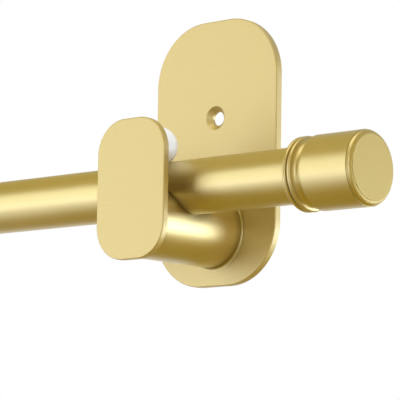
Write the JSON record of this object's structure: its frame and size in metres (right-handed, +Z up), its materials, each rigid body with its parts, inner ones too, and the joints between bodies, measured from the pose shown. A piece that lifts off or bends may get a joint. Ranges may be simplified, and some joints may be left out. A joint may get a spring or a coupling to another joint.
{
  "type": "extendable curtain rod",
  "caption": "Telescoping round curtain rod with turned end caps, resting in saddles on two plate-and-arm wall brackets, satin gold finish.",
  "frame": {"origin": "middle of the left wall plate's back face, on the wall", "axes": "+X along the rod to the right, +Y into the wall, +Z up"},
  "size_m": [0.534, 0.0396, 0.0804],
  "materials": {
    "satin_gold": "satin gold",
    "white_plastic": "moulded, slight sheen",
    "zinc_steel": "zinc plated",
    "white_silicone": "smooth silicone"
  },
  "bodies": {
    "wall_and_outer_tube": {"left_wall_plate": "satin_gold", "left_support_arm": "satin_gold", "left_front_plate": "satin_gold", "left_front_stud": "zinc_steel", "left_arm_screw": "zinc_steel", "left_bumper": "white_silicone", "outer_tube": "satin_gold", "outer_tube_collar": "white_plastic"},
    "inner_tube_and_bracket": {"inner_tube": "satin_gold", "inner_tube_guide": "white_plastic", "right_wall_plate": "satin_gold", "right_support_arm": "satin_gold", "right_front_plate": "satin_gold", "right_front_stud": "zinc_steel", "right_arm_screw": "zinc_steel", "right_bumper": "white_silicone"},
    "left_end_cap": {"left_finial": "satin_gold", "left_finial_plug": "white_plastic"},
    "right_end_cap": {"right_finial": "satin_gold", "right_finial_plug": "white_plastic"}
  },
  "joints": [
    {"name": "rod_extend", "type": "slide", "parent": "wall_and_outer_tube", "child": "inner_tube_and_bracket", "axis": [1, 0, 0], "range_m": [-0.065, 0.18]},
    {"name": "left_cap_pull", "type": "slide", "parent": "wall_and_outer_tube", "child": "left_end_cap", "axis": [-1, 0, 0], "range_m": [0, 0.02]},
    {"name": "right_cap_pull", "type": "slide", "parent": "inner_tube_and_bracket", "child": "right_end_cap", "axis": [1, 0, 0], "range_m": [0, 0.02]}
  ]
}
